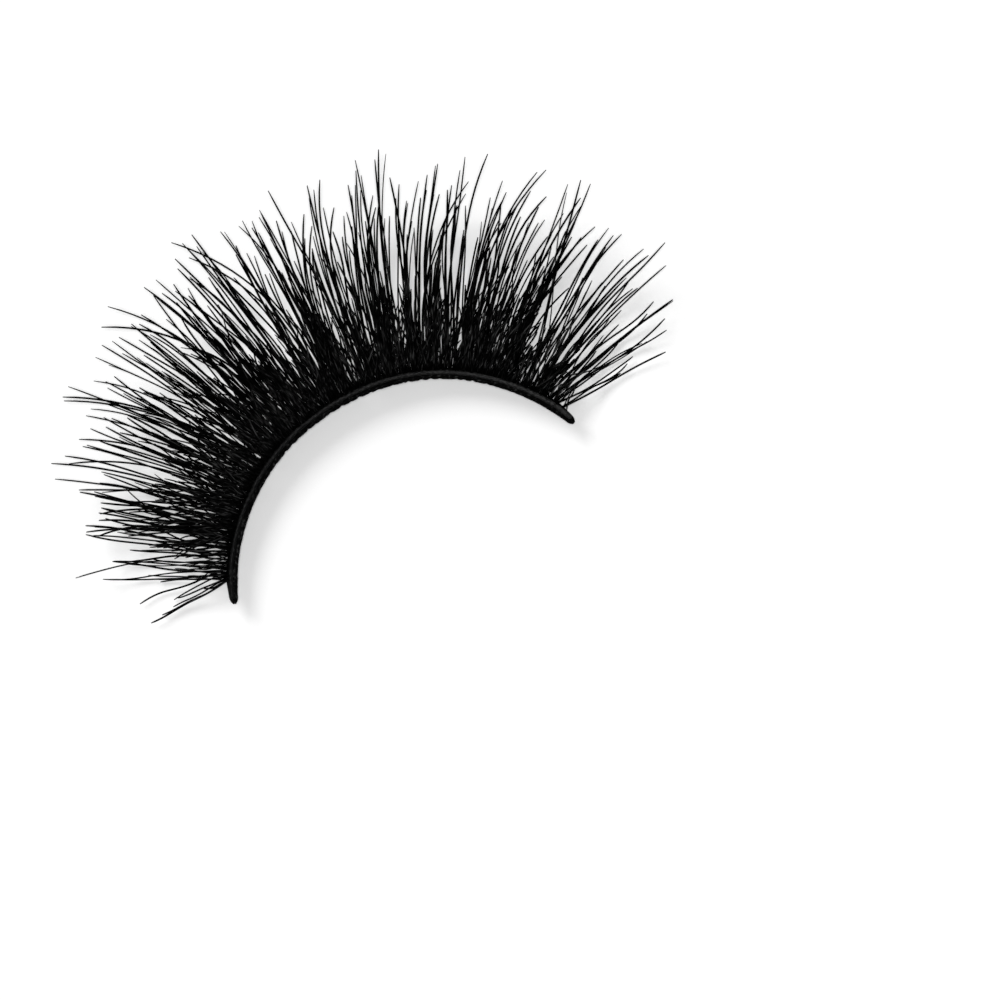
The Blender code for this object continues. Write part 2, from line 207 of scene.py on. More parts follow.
CENTRE_STRANDS = (
    (-27.5, -28.9, -32.0, 26.6, 3), (-30.3, -30.9, -31.2, 25.9, 4), (-31.6, -31.2, -29.9, 25.6, 3),
    (-30.6, -31.2, -31.9, 25.6, 2), (-30.4, -31.2, -31.4, 24.5, 4), (-26.2, -27.2, -29.6, 23.4, 2),
    (-29.2, -29.6, -29.3, 23.8, 4), (-28.6, -28.6, -28.2, 22.5, 1), (-26.0, -26.9, -29.0, 27.3, 5),
    (-28.2, -27.0, -27.1, 27.4, 3), (-26.6, -26.2, -25.8, 27.0, 3), (-23.8, -24.8, -26.4, 26.0, 3),
    (-21.9, -22.9, -24.8, 26.8, 3), (-22.9, -23.9, -24.7, 24.8, 3), (-23.3, -23.5, -23.0, 24.5, 2),
    (-22.6, -22.7, -22.5, 25.0, 2), (-22.2, -22.1, -22.2, 26.7, 4), (-19.5, -20.6, -21.5, 26.3, 4),
    (-15.8, -17.6, -25.1, 28.1, 2), (-16.8, -18.3, -22.4, 28.6, 3), (-17.5, -18.6, -20.3, 26.6, 3),
    (-20.8, -19.6, -17.1, 26.9, 3), (-19.5, -19.0, -18.3, 25.2, 1), (-15.1, -15.8, -17.2, 27.7, 4),
    (-15.7, -15.9, -16.0, 26.6, 3), (-16.3, -16.0, -15.4, 25.5, 2), (-19.2, -18.9, -16.5, 24.7, 1),
    (-19.0, -18.6, -16.9, 24.1, 1), (-15.4, -15.5, -15.6, 23.4, 4), (-13.4, -13.9, -15.3, 27.5, 3),
    (-15.8, -15.1, -13.9, 26.5, 3), (-10.2, -11.2, -14.4, 26.1, 2), (-15.0, -14.4, -12.7, 25.7, 2),
    (-15.2, -14.6, -13.4, 25.3, 1), (-15.3, -15.4, -15.0, 24.1, 2), (-14.0, -14.0, -14.0, 25.3, 4),
    (-12.7, -12.7, -12.2, 24.0, 3), (-10.6, -11.3, -12.0, 27.1, 5), (-8.0, -9.2, -11.4, 27.7, 3),
    (-8.4, -9.4, -11.6, 26.1, 1), (-10.6, -10.0, -9.3, 25.4, 2), (-10.0, -9.8, -9.3, 24.5, 1),
    (-10.6, -10.6, -10.8, 23.6, 4), (-2.0, -3.4, -10.4, 28.7, 2), (-2.6, -3.8, -9.8, 27.2, 1),
    (-9.6, -9.0, -9.3, 28.2, 3), (-7.4, -8.1, -9.3, 28.0, 3), (-7.0, -7.8, -7.6, 28.3, 5),
    (-7.2, -8.0, -8.0, 27.5, 2), (-3.5, -5.6, -7.9, 25.6, 3), (-6.6, -7.3, -7.9, 25.8, 4),
    (-6.0, -6.9, -7.8, 24.0, 2), (-3.2, -4.3, -6.2, 24.4, 1), (-2.9, -3.3, -4.1, 27.4, 4),
    (-5.6, -4.9, -3.3, 26.1, 3), (-4.4, -3.9, -2.5, 25.3, 2), (-5.0, -4.2, -1.7, 24.9, 2),
    (-4.6, -4.8, -4.0, 25.6, 3), (-4.0, -3.9, -3.8, 23.4, 4), (-0.5, -1.6, -3.6, 23.2, 3),
    (-3.2, -2.4, -1.7, 23.5, 1), (-3.4, -2.6, -1.0, 23.4, 2), (1.6, 1.0, -1.5, 27.1, 2),
    (-0.5, -0.7, -0.7, 27.3, 4), (-0.2, -0.2, -0.6, 25.4, 3), (1.1, 0.8, 0.0, 26.6, 3),
    (-0.2, -0.1, 0.5, 26.1, 2), (0.5, 0.6, 0.6, 23.3, 4), (2.4, 2.3, 1.6, 27.0, 2),
    (3.1, 2.8, 2.1, 27.4, 4), (1.9, 2.0, 2.1, 27.2, 3), (-0.6, 0.3, 2.0, 24.8, 2),
    (1.2, 2.0, 3.6, 26.3, 2), (1.0, 1.9, 3.7, 25.5, 2), (1.5, 2.4, 3.5, 23.4, 1),
    (2.0, 2.0, 2.2, 23.2, 4), (6.9, 5.9, 4.3, 28.3, 6), (2.2, 2.8, 5.0, 25.3, 2),
    (2.4, 3.2, 7.7, 26.0, 2), (2.4, 3.2, 6.5, 24.5, 2), (2.6, 3.8, 8.2, 25.1, 3),
    (2.8, 3.9, 6.8, 23.5, 2), (4.0, 5.0, 7.0, 23.7, 2), (7.0, 6.6, 6.8, 23.4, 3),
    (7.2, 6.1, 5.4, 22.0, 3), (6.5, 7.3, 9.2, 26.9, 4), (6.8, 7.6, 10.2, 27.3, 1),
    (8.0, 8.4, 9.5, 27.7, 3), (7.6, 8.3, 11.4, 27.8, 3), (7.4, 8.3, 12.2, 25.8, 2),
    (9.6, 9.9, 10.7, 26.0, 3), (9.4, 9.9, 11.0, 24.3, 2), (8.4, 8.5, 8.7, 23.4, 4),
    (15.0, 12.4, 10.2, 22.3, 2), (10.4, 11.1, 13.3, 25.1, 3), (10.8, 11.4, 12.2, 23.8, 2),
    (10.6, 11.4, 12.7, 22.8, 1), (11.4, 13.1, 15.0, 27.0, 4), (12.0, 13.4, 16.0, 26.9, 4),
    (9.8, 12.0, 14.1, 24.3, 3), (13.2, 14.5, 16.5, 27.8, 3), (15.2, 16.5, 16.7, 28.5, 4),
    (13.5, 14.8, 18.2, 26.0, 2), (13.6, 14.8, 18.3, 25.2, 3), (15.8, 16.6, 17.8, 24.5, 3),
    (14.4, 15.0, 16.6, 26.5, 3),
)
RIGHT_STRANDS = (
    (17.6, 18.2, 19.3, 28.3, 3), (17.2, 18.1, 20.0, 28.9, 5), (15.4, 16.5, 19.0, 25.6, 3),
    (17.4, 18.4, 20.2, 24.5, 2), (18.8, 18.7, 18.9, 24.8, 4), (22.0, 21.9, 21.0, 27.0, 3),
    (20.6, 21.0, 22.2, 26.5, 3), (21.3, 21.4, 21.5, 25.6, 4), (18.3, 19.6, 21.3, 23.5, 3),
    (20.4, 21.2, 23.2, 25.2, 2), (20.6, 21.6, 23.6, 24.0, 1), (20.4, 21.7, 25.0, 26.6, 3),
    (22.3, 23.4, 25.2, 25.5, 4), (22.9, 24.2, 26.3, 27.0, 3), (23.0, 24.1, 26.1, 26.0, 2),
    (24.5, 25.4, 27.8, 27.7, 4), (24.4, 25.3, 27.2, 25.7, 3), (24.4, 25.4, 28.0, 25.7, 3),
    (25.0, 25.8, 26.9, 23.9, 2), (23.8, 25.8, 32.2, 26.6, 2), (24.2, 26.0, 31.9, 25.8, 2),
    (29.6, 29.2, 29.8, 26.3, 4), (29.4, 29.1, 29.2, 26.0, 2), (30.6, 30.2, 30.9, 27.3, 4),
    (30.2, 30.2, 31.5, 28.2, 4), (30.4, 29.9, 30.4, 25.3, 3), (32.0, 30.4, 30.7, 25.0, 3),
    (26.0, 27.2, 29.0, 24.1, 5), (34.2, 32.6, 32.0, 25.0, 2), (32.0, 32.0, 34.5, 28.5, 4),
    (32.2, 31.1, 32.0, 23.0, 2), (32.0, 31.6, 32.0, 23.4, 2), (33.4, 34.5, 35.6, 25.7, 4),
    (33.4, 34.6, 37.0, 26.9, 4), (33.2, 34.6, 37.3, 25.5, 3), (33.6, 35.0, 37.8, 26.2, 2),
    (34.0, 35.3, 37.5, 24.5, 4), (31.5, 33.2, 34.4, 23.0, 4), (34.6, 36.3, 42.6, 28.2, 3),
    (34.8, 36.4, 41.5, 27.9, 2), (38.2, 38.0, 37.3, 25.5, 3), (36.6, 37.7, 39.1, 25.3, 3),
    (36.8, 37.9, 39.9, 25.7, 2), (36.8, 38.1, 41.2, 26.6, 3), (38.4, 39.1, 40.6, 24.8, 3),
    (37.8, 39.3, 43.6, 26.5, 2), (39.6, 40.9, 42.9, 25.7, 4), (39.8, 41.1, 43.5, 24.7, 3),
    (40.8, 41.8, 44.3, 25.0, 3), (40.2, 40.6, 41.2, 22.9, 2), (41.8, 42.6, 45.5, 24.0, 2),
    (45.2, 45.8, 46.0, 27.7, 4), (43.6, 45.2, 48.3, 27.1, 3), (43.0, 44.5, 46.0, 24.2, 5),
    (41.5, 43.2, 45.6, 23.0, 2), (53.0, 49.1, 47.5, 28.2, 5), (46.4, 47.4, 48.9, 28.2, 4),
    (46.6, 47.6, 48.8, 25.7, 2), (47.0, 48.0, 49.1, 24.5, 1), (46.6, 47.2, 47.9, 24.7, 5),
    (44.8, 47.1, 51.8, 25.7, 3), (44.8, 47.0, 50.5, 24.7, 2), (45.4, 47.6, 51.8, 24.4, 3),
    (46.8, 48.6, 51.9, 21.3, 2), (52.0, 49.9, 48.2, 23.0, 3), (51.0, 51.9, 53.0, 25.0, 4),
    (51.6, 52.5, 53.7, 26.0, 3), (51.4, 52.8, 55.8, 26.0, 3), (51.6, 52.8, 54.8, 25.7, 3),
    (54.6, 54.1, 54.6, 24.8, 4), (52.2, 53.3, 53.4, 22.3, 3), (55.2, 55.2, 55.0, 22.4, 4),
    (52.8, 54.8, 57.9, 24.6, 3), (53.6, 55.2, 56.7, 22.6, 2), (54.9, 56.6, 59.7, 25.9, 3),
    (55.6, 56.6, 57.4, 22.5, 3), (54.6, 57.2, 60.8, 25.7, 4), (54.9, 57.0, 59.5, 23.3, 3),
    (56.2, 59.0, 61.8, 27.0, 4), (56.8, 59.2, 60.4, 23.8, 3), (56.4, 58.7, 61.6, 23.3, 2),
    (57.0, 60.4, 63.8, 25.8, 4), (56.8, 59.4, 62.2, 23.5, 3), (57.6, 60.1, 62.0, 21.7, 2),
    (57.6, 59.6, 61.0, 20.0, 3), (59.6, 61.6, 63.1, 20.8, 4), (58.0, 62.6, 65.6, 23.4, 3),
    (58.8, 60.4, 62.0, 19.0, 2), (59.6, 63.9, 66.0, 22.5, 3), (59.6, 64.3, 67.8, 24.3, 5),
    (59.0, 63.8, 66.4, 22.0, 3), (61.8, 64.0, 65.0, 20.0, 3), (61.2, 61.9, 62.4, 18.5, 3),
    (60.6, 66.3, 68.8, 23.0, 3), (61.0, 66.4, 70.3, 22.5, 4), (61.8, 66.8, 68.9, 19.7, 3),
    (62.0, 67.0, 69.0, 19.1, 2), (64.0, 69.2, 72.8, 21.4, 2),
)

# Columns: left angle, right angle, short hairs between them, share of loose long hairs kept, their spread.
DENSITY = (
    (-63.0, -56.0, 2, 0.35, 1.0),
    (-56.0, -49.0, 20, 0.80, 1.5),
    (-49.0, -42.0, 26, 0.90, 1.8),
    (-42.0, -35.0, 23, 0.75, 1.8),
    (-35.0, -28.0, 21, 0.60, 1.6),
    (-28.0, -21.0, 28, 0.95, 1.4),
    (-21.0, -14.0, 21, 0.80, 1.2),
    (-14.0, -7.0, 20, 0.72, 1.0),
    (-7.0, 0.0, 18, 0.45, 1.0),
    (0.0, 7.0, 15, 0.45, 1.0),
    (7.0, 14.0, 15, 0.55, 1.0),
    (14.0, 21.0, 22, 0.65, 1.0),
    (21.0, 28.0, 29, 0.70, 1.0),
    (28.0, 35.0, 10, 0.26, 1.0),
    (35.0, 42.0, 33, 0.88, 1.2),
    (42.0, 49.0, 19, 0.65, 1.3),
    (49.0, 56.0, 9, 0.24, 1.2),
    (56.0, 65.0, 3, 0.30, 1.0),
)

# Columns: angle of a dense lock, radius at which it thins out, hairs that fill it.
LOCKS = (
    (-53.5, 19.5, 7), (-52.0, 18.5, 2), (-49.2, 20.5, 6), (-47.6, 19.5, 2), (-46.0, 20.5, 3),
    (-43.0, 20.8, 6), (-41.5, 21.0, 4), (-37.0, 20.5, 3), (-35.3, 21.0, 4), (-31.0, 22.0, 2),
    (-29.5, 21.5, 4), (-25.0, 23.5, 9), (-22.0, 24.0, 6), (-20.5, 23.5, 9), (-19.0, 23.5, 5),
    (-17.5, 21.5, 5), (-13.0, 21.5, 8), (-11.5, 22.5, 13), (-10.0, 22.0, 5), (-4.0, 19.5, 3),
    (-2.5, 20.0, 4), (-1.0, 20.5, 3), (0.6, 22.5, 4), (2.0, 22.5, 6), (3.7, 23.0, 7),
    (9.6, 23.5, 9), (14.1, 22.0, 8), (15.5, 23.5, 10), (20.0, 18.5, 2), (23.0, 21.0, 4),
    (26.1, 20.8, 7), (27.4, 22.5, 12), (29.0, 20.5, 3), (33.5, 18.8, 4), (35.0, 21.0, 9),
    (36.5, 21.5, 9), (44.0, 21.0, 2), (45.6, 22.0, 5), (47.0, 22.5, 6), (48.5, 18.8, 5),
    (56.5, 19.0, 3), (57.8, 20.0, 5), (59.0, 20.8, 5),
)

# Columns: angle of a thin place between locks, share of the loose hairs that it lacks.
THIN_PLACES = (
    (-61.0, 0.8), (-56.5, 0.6), (-52.4, 0.4), (-50.5, 0.2), (-47.5, 0.4), (-32.8, 0.3), (-28.0, 0.9),
    (-26.5, 0.5), (-8.3, 0.6), (-7.0, 0.9), (-5.6, 0.6), (6.8, 0.4), (11.6, 0.4), (12.6, 0.8), (17.2, 0.5),
    (18.5, 0.6), (30.6, 0.9), (32.2, 0.8), (42.4, 0.3), (50.2, 0.6), (51.6, 0.9), (53.0, 0.4), (54.6, 0.7),
    (58.6, 0.8), (60.8, 0.5),
)

# Columns: angle of a parting between locks, radius at which it opens.
PARTINGS = (
    (-62.0, 15.0), (-60.2, 17.3), (-57.2, 15.7), (-55.6, 17.8), (-54.2, 18.7), (-51.0, 17.8), (-48.6, 20.0),
    (-46.6, 18.7), (-45.7, 20.0), (-43.9, 18.7), (-42.4, 18.9), (-40.2, 19.6), (-39.7, 19.0), (-38.5, 18.7),
    (-36.6, 18.6), (-36.1, 20.0), (-33.9, 20.0), (-31.7, 18.7), (-30.5, 20.0), (-28.2, 19.6), (-26.9, 18.9),
    (-24.0, 20.1), (-22.3, 19.4), (-20.6, 20.0), (-18.7, 18.9), (-17.2, 20.6), (-16.3, 19.0), (-13.6, 19.6),
    (-11.9, 18.7), (-10.0, 17.6), (-8.4, 20.5), (-7.2, 18.4), (-6.2, 17.5), (-1.9, 20.0), (-1.1, 19.3),
    (0.0, 18.7), (3.8, 18.7), (4.9, 19.0), (5.8, 17.5), (6.8, 19.2), (7.4, 18.3), (9.7, 18.0),
    (10.9, 20.0), (11.8, 19.3), (12.6, 18.0), (14.2, 19.1), (17.4, 19.9), (18.5, 18.7), (19.7, 18.0),
    (22.1, 19.9), (22.7, 18.7), (24.3, 18.7), (25.9, 20.0), (28.6, 18.7), (29.7, 18.8), (31.0, 17.1),
    (32.3, 18.2), (33.0, 19.5), (37.4, 20.5), (38.6, 19.9), (39.7, 18.7), (43.3, 18.6), (45.0, 20.0),
    (48.5, 18.3), (49.7, 16.6), (51.2, 17.0), (53.4, 17.6), (55.4, 18.8), (56.5, 17.0), (57.7, 18.0),
    (59.7, 16.1), (61.3, 15.5), (62.6, 15.2), (64.6, 15.6),
)


def place(angle, radius, height):
    """Return points, in metres, at angles and radii of the arc and heights over the surface."""
    turn = np.radians(angle)
    bend = np.interp(angle, [line[0] for line in BENDS], [line[1] for line in BENDS])
    bent = radius + bend * np.clip((BELLY_RADIUS - radius) / (BELLY_RADIUS - ROOT_RADIUS), 0.0, 1.0)
    x = ARC_CENTRE_X + bent * np.sin(turn)
    y = ARC_CENTRE_Y + bent * np.cos(turn)
    return np.stack((x * MM, y * MM, height * MM), axis=-1)


def band_lift(angle):
    """Return the height of the band's underside at an angle."""
    end = math.cos(math.radians(BAND_HALF_ANGLE))
    arch = (np.cos(np.radians(angle)) - end) / (1.0 - end)
    return BAND_END_LIFT + (BAND_MIDDLE_LIFT - BAND_END_LIFT) * np.clip(arch, 0.0, 1.0)


def smooth_noise(source, count, step):
    """Return count values of smooth noise between -1 and 1, with a new random value every few steps."""
    knots = source.uniform(-1.0, 1.0, count // step + 3)
    where = np.arange(count) / step
    first = where.astype(int)
    blend = where - first
    blend = blend * blend * (3.0 - 2.0 * blend)
    return knots[first] * (1.0 - blend) + knots[first + 1] * blend


def mesh_from_arrays(name, points, faces, grain):
    """Make an object from points, four-cornered faces and a grain vector for each point."""
    mesh = bpy.data.meshes.new(name)
    mesh.vertices.add(points.size // 3)
    mesh.vertices.foreach_set("co", points.astype(np.float32).ravel())
    mesh.loops.add(faces.size)
    mesh.loops.foreach_set("vertex_index", faces.astype(np.int32).ravel())
    mesh.polygons.add(len(faces))
    mesh.polygons.foreach_set("loop_start", np.arange(0, faces.size, 4, dtype=np.int32))
    mesh.polygons.foreach_set("use_smooth", np.ones(len(faces), dtype=bool))
    layer = mesh.attributes.new("grain", "FLOAT_VECTOR", "POINT")
    layer.data.foreach_set("vector", grain.astype(np.float32).ravel())
    mesh.update(calc_edges=True)
    mesh.validate()
    scene_object = bpy.data.objects.new(name, mesh)
    bpy.context.collection.objects.link(scene_object)
    return scene_object


def ring_faces(strands, rings, sides):
    """Return the faces of tubes whose points are numbered by strand, ring and side."""
    strand = np.arange(strands)[:, None, None] * rings * sides
    ring = np.arange(rings - 1)[None, :, None] * sides
    side = np.arange(sides)[None, None, :]
    after = (side + 1) % sides
    near = strand + ring
    far = near + sides
    corners = np.stack((near + side, near + after, far + after, far + side), axis=-1)
    return corners.reshape(-1, 4)


def tubes(name, centres, radii, sides, marks):
    """Make open-ended tubes along rows of centres; marks holds one number for each tube.

    The grain holds the length along a tube, the turn round it and its mark.
    """
    strands, rings, _axes = centres.shape
    along = np.gradient(centres, axis=1)
    along /= np.linalg.norm(along, axis=-1, keepdims=True)
    across = np.cross(along, np.array((0.0, 0.0, 1.0)))
    across /= np.linalg.norm(across, axis=-1, keepdims=True)
    upward = np.cross(across, along)
    turn = 2.0 * math.pi * np.arange(sides) / sides
    spoke = across[:, :, None, :] * np.cos(turn)[:, None] + upward[:, :, None, :] * np.sin(turn)[:, None]
    points = centres[:, :, None, :] + spoke * radii[:, :, None, None] * MM
    steps = np.diff(centres, axis=1, prepend=centres[:, :1])
    length = np.cumsum(np.linalg.norm(steps, axis=-1), axis=1) / MM
    grain = np.zeros(points.shape)
    grain[..., 0] = length[:, :, None]
    grain[..., 1] = turn
    grain[..., 2] = marks[:, None, None]
    return mesh_from_arrays(name, points, ring_faces(strands, rings, sides), grain)


def stub_width_share(angle):
    """Return the share of the band's width at an angle: the band narrows and rounds off at its ends."""
    from_end = BAND_HALF_ANGLE + STUB_EXTRA_ANGLE - abs(angle)
    taper = min(1.0, from_end / STUB_TAPER_ANGLE)
    share = STUB_WIDTH_SHARE + (1.0 - STUB_WIDTH_SHARE) * taper
    if from_end < STUB_ROUND_ANGLE:
        across = 1.0 - from_end / STUB_ROUND_ANGLE
        share *= max(STUB_TIP_SHARE, math.sqrt(max(0.0, 1.0 - across * across)))
    return share


def band_outline(share, notch):
    """Return the band's outline, from its inner side over the top and the ledge to its underside.

    The outline is a row of radii and a row of heights over the underside. Share is the share of the full
    width, and notch is the depth of the notch in the inner side.
    """
    middle = BAND_INNER_RADIUS + BAND_WIDTH / 2
    inner = middle - share * BAND_WIDTH / 2 + notch * share
    outer = middle + share * BAND_WIDTH / 2
    ledge = outer - LEDGE_WIDTH * share
    top = BAND_THICKNESS
    ledge_height = BAND_THICKNESS - LEDGE_DROP
    radii = (
        inner, inner - 0.012, inner, inner + 0.05 * share, inner + 0.13 * share, (inner + ledge) / 2,
        ledge - 0.08 * share, ledge - 0.02 * share, ledge, ledge + 0.05 * share, outer - 0.03, outer,
        outer, outer - 0.04, inner + 0.20 * share, inner + 0.05 * share,
    )
    heights = (
        0.10, 0.19, 0.28, 0.36, 0.395, top,
        top, 0.37, 0.30, ledge_height, ledge_height, ledge_height - 0.03,
        0.04, 0.0, 0.0, 0.03,
    )
    return np.array(radii), np.array(heights)


def make_band():
    """Make the band: its section swept round the arc, with an uneven, knotted inner edge."""
    source = np.random.default_rng(11)
    half_angle = BAND_HALF_ANGLE + STUB_EXTRA_ANGLE
    angles = np.linspace(-half_angle, half_angle, BAND_STATIONS)
    centres = np.linspace(-half_angle, half_angle, BAND_NOTCHES)
    centres += source.uniform(-NOTCH_SHIFT, NOTCH_SHIFT, BAND_NOTCHES)
    depths = NOTCH_DEPTH * source.uniform(NOTCH_SHALLOWEST, 1.0, BAND_NOTCHES)
    depths *= np.interp(centres, [line[0] for line in NOTCH_DEPTHS], [line[1] for line in NOTCH_DEPTHS])
    widths = NOTCH_HALF_ANGLE * source.uniform(NOTCH_NARROWEST, NOTCH_WIDEST, BAND_NOTCHES)
    dips = depths * np.exp(-(((angles[:, None] - centres) / widths) ** 2))
    notches = dips.max(axis=1)
    sections = [band_outline(stub_width_share(angle), notch) for angle, notch in zip(angles, notches)]
    radii = np.array([section[0] for section in sections])
    heights = np.array([section[1] for section in sections])
    sides = radii.shape[1]
    for side in range(sides):
        radii[:, side] += BAND_ROUGHNESS * 0.5 * smooth_noise(source, BAND_STATIONS, BAND_ROUGHNESS_STEP)
        if side < BAND_ROUGH_SIDES:
            heights[:, side] += BAND_ROUGHNESS * smooth_noise(source, BAND_STATIONS, BAND_ROUGHNESS_STEP)
    points = place(angles[:, None], radii, band_lift(angles)[:, None] + heights)
    grain = np.zeros(points.shape)
    grain[..., 0] = np.radians(angles)[:, None] * THREAD_CENTRE_RADIUS
    grain[..., 1] = radii
    grain[..., 2] = heights
    faces = ring_faces(1, BAND_STATIONS, sides)[:, ::-1]
    caps = []
    for first, order in ((0, 1), ((BAND_STATIONS - 1) * sides, -1)):
        for low in range(sides // 2 - 1):
            corners = (low, low + 1, sides - 2 - low, sides - 1 - low)
            caps.append([first + corner for corner in corners[::order]])
    faces = np.concatenate((faces, np.array(caps)))
    return mesh_from_arrays("band_strip", points, faces, grain)


def make_thread():
    """Make the thread along the ledge of the band's top."""
    source = np.random.default_rng(12)
    angles = np.linspace(-THREAD_HALF_ANGLE, THREAD_HALF_ANGLE, THREAD_STATIONS)
    side_noise = smooth_noise(source, THREAD_STATIONS, THREAD_SIDE_STEP)
    height_noise = smooth_noise(source, THREAD_STATIONS, THREAD_HEIGHT_STEP)
    width_noise = smooth_noise(source, THREAD_STATIONS, THREAD_WIDTH_STEP)
    radius = THREAD_CENTRE_RADIUS + THREAD_ROUGHNESS * side_noise
    height = THREAD_CENTRE_HEIGHT + THREAD_ROUGHNESS * height_noise
    centres = place(angles, radius, band_lift(angles) + height)[None]
    from_end = (THREAD_HALF_ANGLE - np.abs(angles)) / THREAD_ROUND_ANGLE
    rounding = np.sqrt(np.clip(1.0 - (1.0 - np.clip(from_end, 0.0, 1.0)) ** 2, 0.0, 1.0))
    widths = np.maximum((THREAD_RADIUS + THREAD_ROUGHNESS * width_noise) * rounding, THREAD_THINNEST)
    return tubes("band_cord_thread", centres, widths[None], THREAD_SIDES, np.array((0.5,)))


def hair_heights(root_angles, radii, curls, starts, lifts):
    """Return the heights of hairs: down from the band to the belly, then up into the curl."""
    drop = band_lift(root_angles)
    belly = ROOT_RADIUS + (BELLY_RADIUS - ROOT_RADIUS) * np.sqrt(drop / BAND_MIDDLE_LIFT)
    inward = np.clip((belly - radii) / (belly - ROOT_RADIUS), 0.0, 1.1)
    outward = np.clip((radii - belly) / (CURL_RADIUS - BELLY_RADIUS), 0.0, None)
    heights = drop * inward**2 + CURL_HEIGHT * curls * outward**CURL_POWER
    share = np.clip((radii - ROOT_RADIUS) / (SHORT_REACH - ROOT_RADIUS), 0.0, None)
    rise = share**LIFT_POWER
    return heights + starts + lifts * rise / (1.0 + LIFT_EASING * rise)


def path_angle(root, waist, tip, along):
    """Return the angle of a hair at a share of its length, seen from above."""
    at_root = (1.0 - along) * (1.0 - 2.0 * along)
    at_waist = 4.0 * along * (1.0 - along)
    at_tip = along * (2.0 * along - 1.0)
    return root * at_root + waist * at_waist + tip * at_tip


def hair_centres(source, roots, waists, tips, reaches, curls, starts, lifts):
    """Return the centre lines of hairs, each a curve through its root, waist and tip seen from above."""
    spacing = np.linspace(0.0, 1.0, HAIR_RINGS)
    radii = HAIR_START_RADIUS + (reaches[:, None] - HAIR_START_RADIUS) * spacing
    along = (radii - PATH_START_RADIUS) / (reaches[:, None] - PATH_START_RADIUS)
    angles = path_angle(roots[:, None], waists[:, None], tips[:, None], along)
    sway = source.normal(0.0, SWAY, len(roots))[:, None] * np.sin(2.0 * math.pi * along)
    sway += source.normal(0.0, RIPPLE, len(roots))[:, None] * np.sin(3.0 * math.pi * along)
    heights = hair_heights(roots[:, None], radii, curls[:, None], starts[:, None], lifts[:, None])
    return place(angles + sway, radii, heights)


def hair_radii(source, full):
    """Return the radii of hairs at their rings: even at first, then finer towards the tip."""
    varied = full + HAIR_RADIUS_VARIATION * source.uniform(-1.0, 1.0, len(full))
    along = np.linspace(0.0, 1.0, HAIR_RINGS)
    taper = np.clip((along - TAPER_START) / (1.0 - TAPER_START), 0.0, 1.0)
    share = 1.0 - (1.0 - TIP_SHARE) * taper**TAPER_POWER
    share[-1] = TIP_END_SHARE
    return varied[:, None] * share


def evened(angles, evenness):
    """Return root angles moved towards even places along the band, without changing their order."""
    places = np.empty(len(angles))
    places[np.argsort(angles, kind="stable")] = np.linspace(ROOT_LEFT_ANGLE, ROOT_RIGHT_ANGLE, len(angles))
    return angles + (places - angles) * evenness


def make_long_lashes(tables):
    """Make the long lashes: a lead hair to each row of the tables and looser, shorter ones by it."""
    source = np.random.default_rng(21)
    rows = np.array([row for _name, table in tables for row in table])
    part_of_row = np.repeat(np.arange(len(tables)), [len(table) for _name, table in tables])
    curl_of_row = 1.0 + source.normal(0.0, ROW_CURL_SPREAD, len(rows))
    start_of_row = source.uniform(ROW_LOWEST_START, ROW_HIGHEST_START, len(rows))
    places = [(line[0] + line[1]) / 2 for line in DENSITY]
    share_at_root = np.interp(rows[:, 0], places, [line[3] for line in DENSITY])
    spread_at_root = np.interp(rows[:, 0], places, [line[4] for line in DENSITY])
    for thin_angle, lack in THIN_PLACES:
        share_at_root *= 1.0 - lack * np.exp(-(((rows[:, 1] - thin_angle) / THIN_HALF_ANGLE) ** 2))
    wanted = (rows[:, 4] - 1) * share_at_root * LOOSE_SHARE
    companions = np.floor(wanted + source.uniform(0.0, 1.0, len(rows))).astype(int)
    row = np.repeat(np.arange(len(rows)), companions + 1)
    count = len(row)
    loose = np.concatenate(((False,), np.diff(row) == 0))
    second = loose & ~np.concatenate(((False,), loose[:-1]))
    twin = second & (rows[row, 4] >= TWIN_HAIRS)
    skewed = source.uniform(0.0, 1.0, count) ** LOOSE_SKEW
    share = np.where(loose, LOOSE_SHORTEST + (LOOSE_LONGEST - LOOSE_SHORTEST) * skewed, 1.0)
    share = np.where(twin, source.uniform(TWIN_SHORTEST, 1.0, count), share)
    spread = np.where(twin, TWIN_SPREAD, loose * spread_at_root[row])
    root, waist, tip, reach = rows[row, 0], rows[row, 1], rows[row, 2], rows[row, 3]
    waists = path_angle(root, waist, tip, share / 2) + spread * source.normal(0.0, WAIST_SPREAD, count)
    tips = path_angle(root, waist, tip, share) + spread * source.normal(0.0, TIP_SPREAD, count)
    shifted = root + loose * source.normal(0.0, LOOSE_ROOT_SPREAD, count)
    roots = evened(shifted, np.where(loose, LOOSE_EVENNESS, LEAD_EVENNESS))
    reaches = PATH_START_RADIUS + (reach - PATH_START_RADIUS) * share
    curls = curl_of_row[row] + source.normal(0.0, HAIR_CURL_SPREAD, count)
    starts = start_of_row[row] + source.normal(0.0, HAIR_START_SPREAD, count)
    starts = np.clip(starts, HAIR_LOWEST_START, HAIR_HIGHEST_START)
    lifts = source.uniform(0.0, LONG_HIGHEST_LIFT, count)
    centres = hair_centres(source, roots, waists, tips, reaches, curls, starts, lifts)
    radii = hair_radii(source, np.where(loose, LOOSE_HAIR_RADIUS, LEAD_HAIR_RADIUS))
    marks = source.uniform(0.0, 1.0, count)
    part = part_of_row[row]
    pieces = []
    for number, (name, _table) in enumerate(tables):
        chosen = part == number
        pieces.append(tubes(name, centres[chosen], radii[chosen], HAIR_SIDES, marks[chosen]))
    return pieces


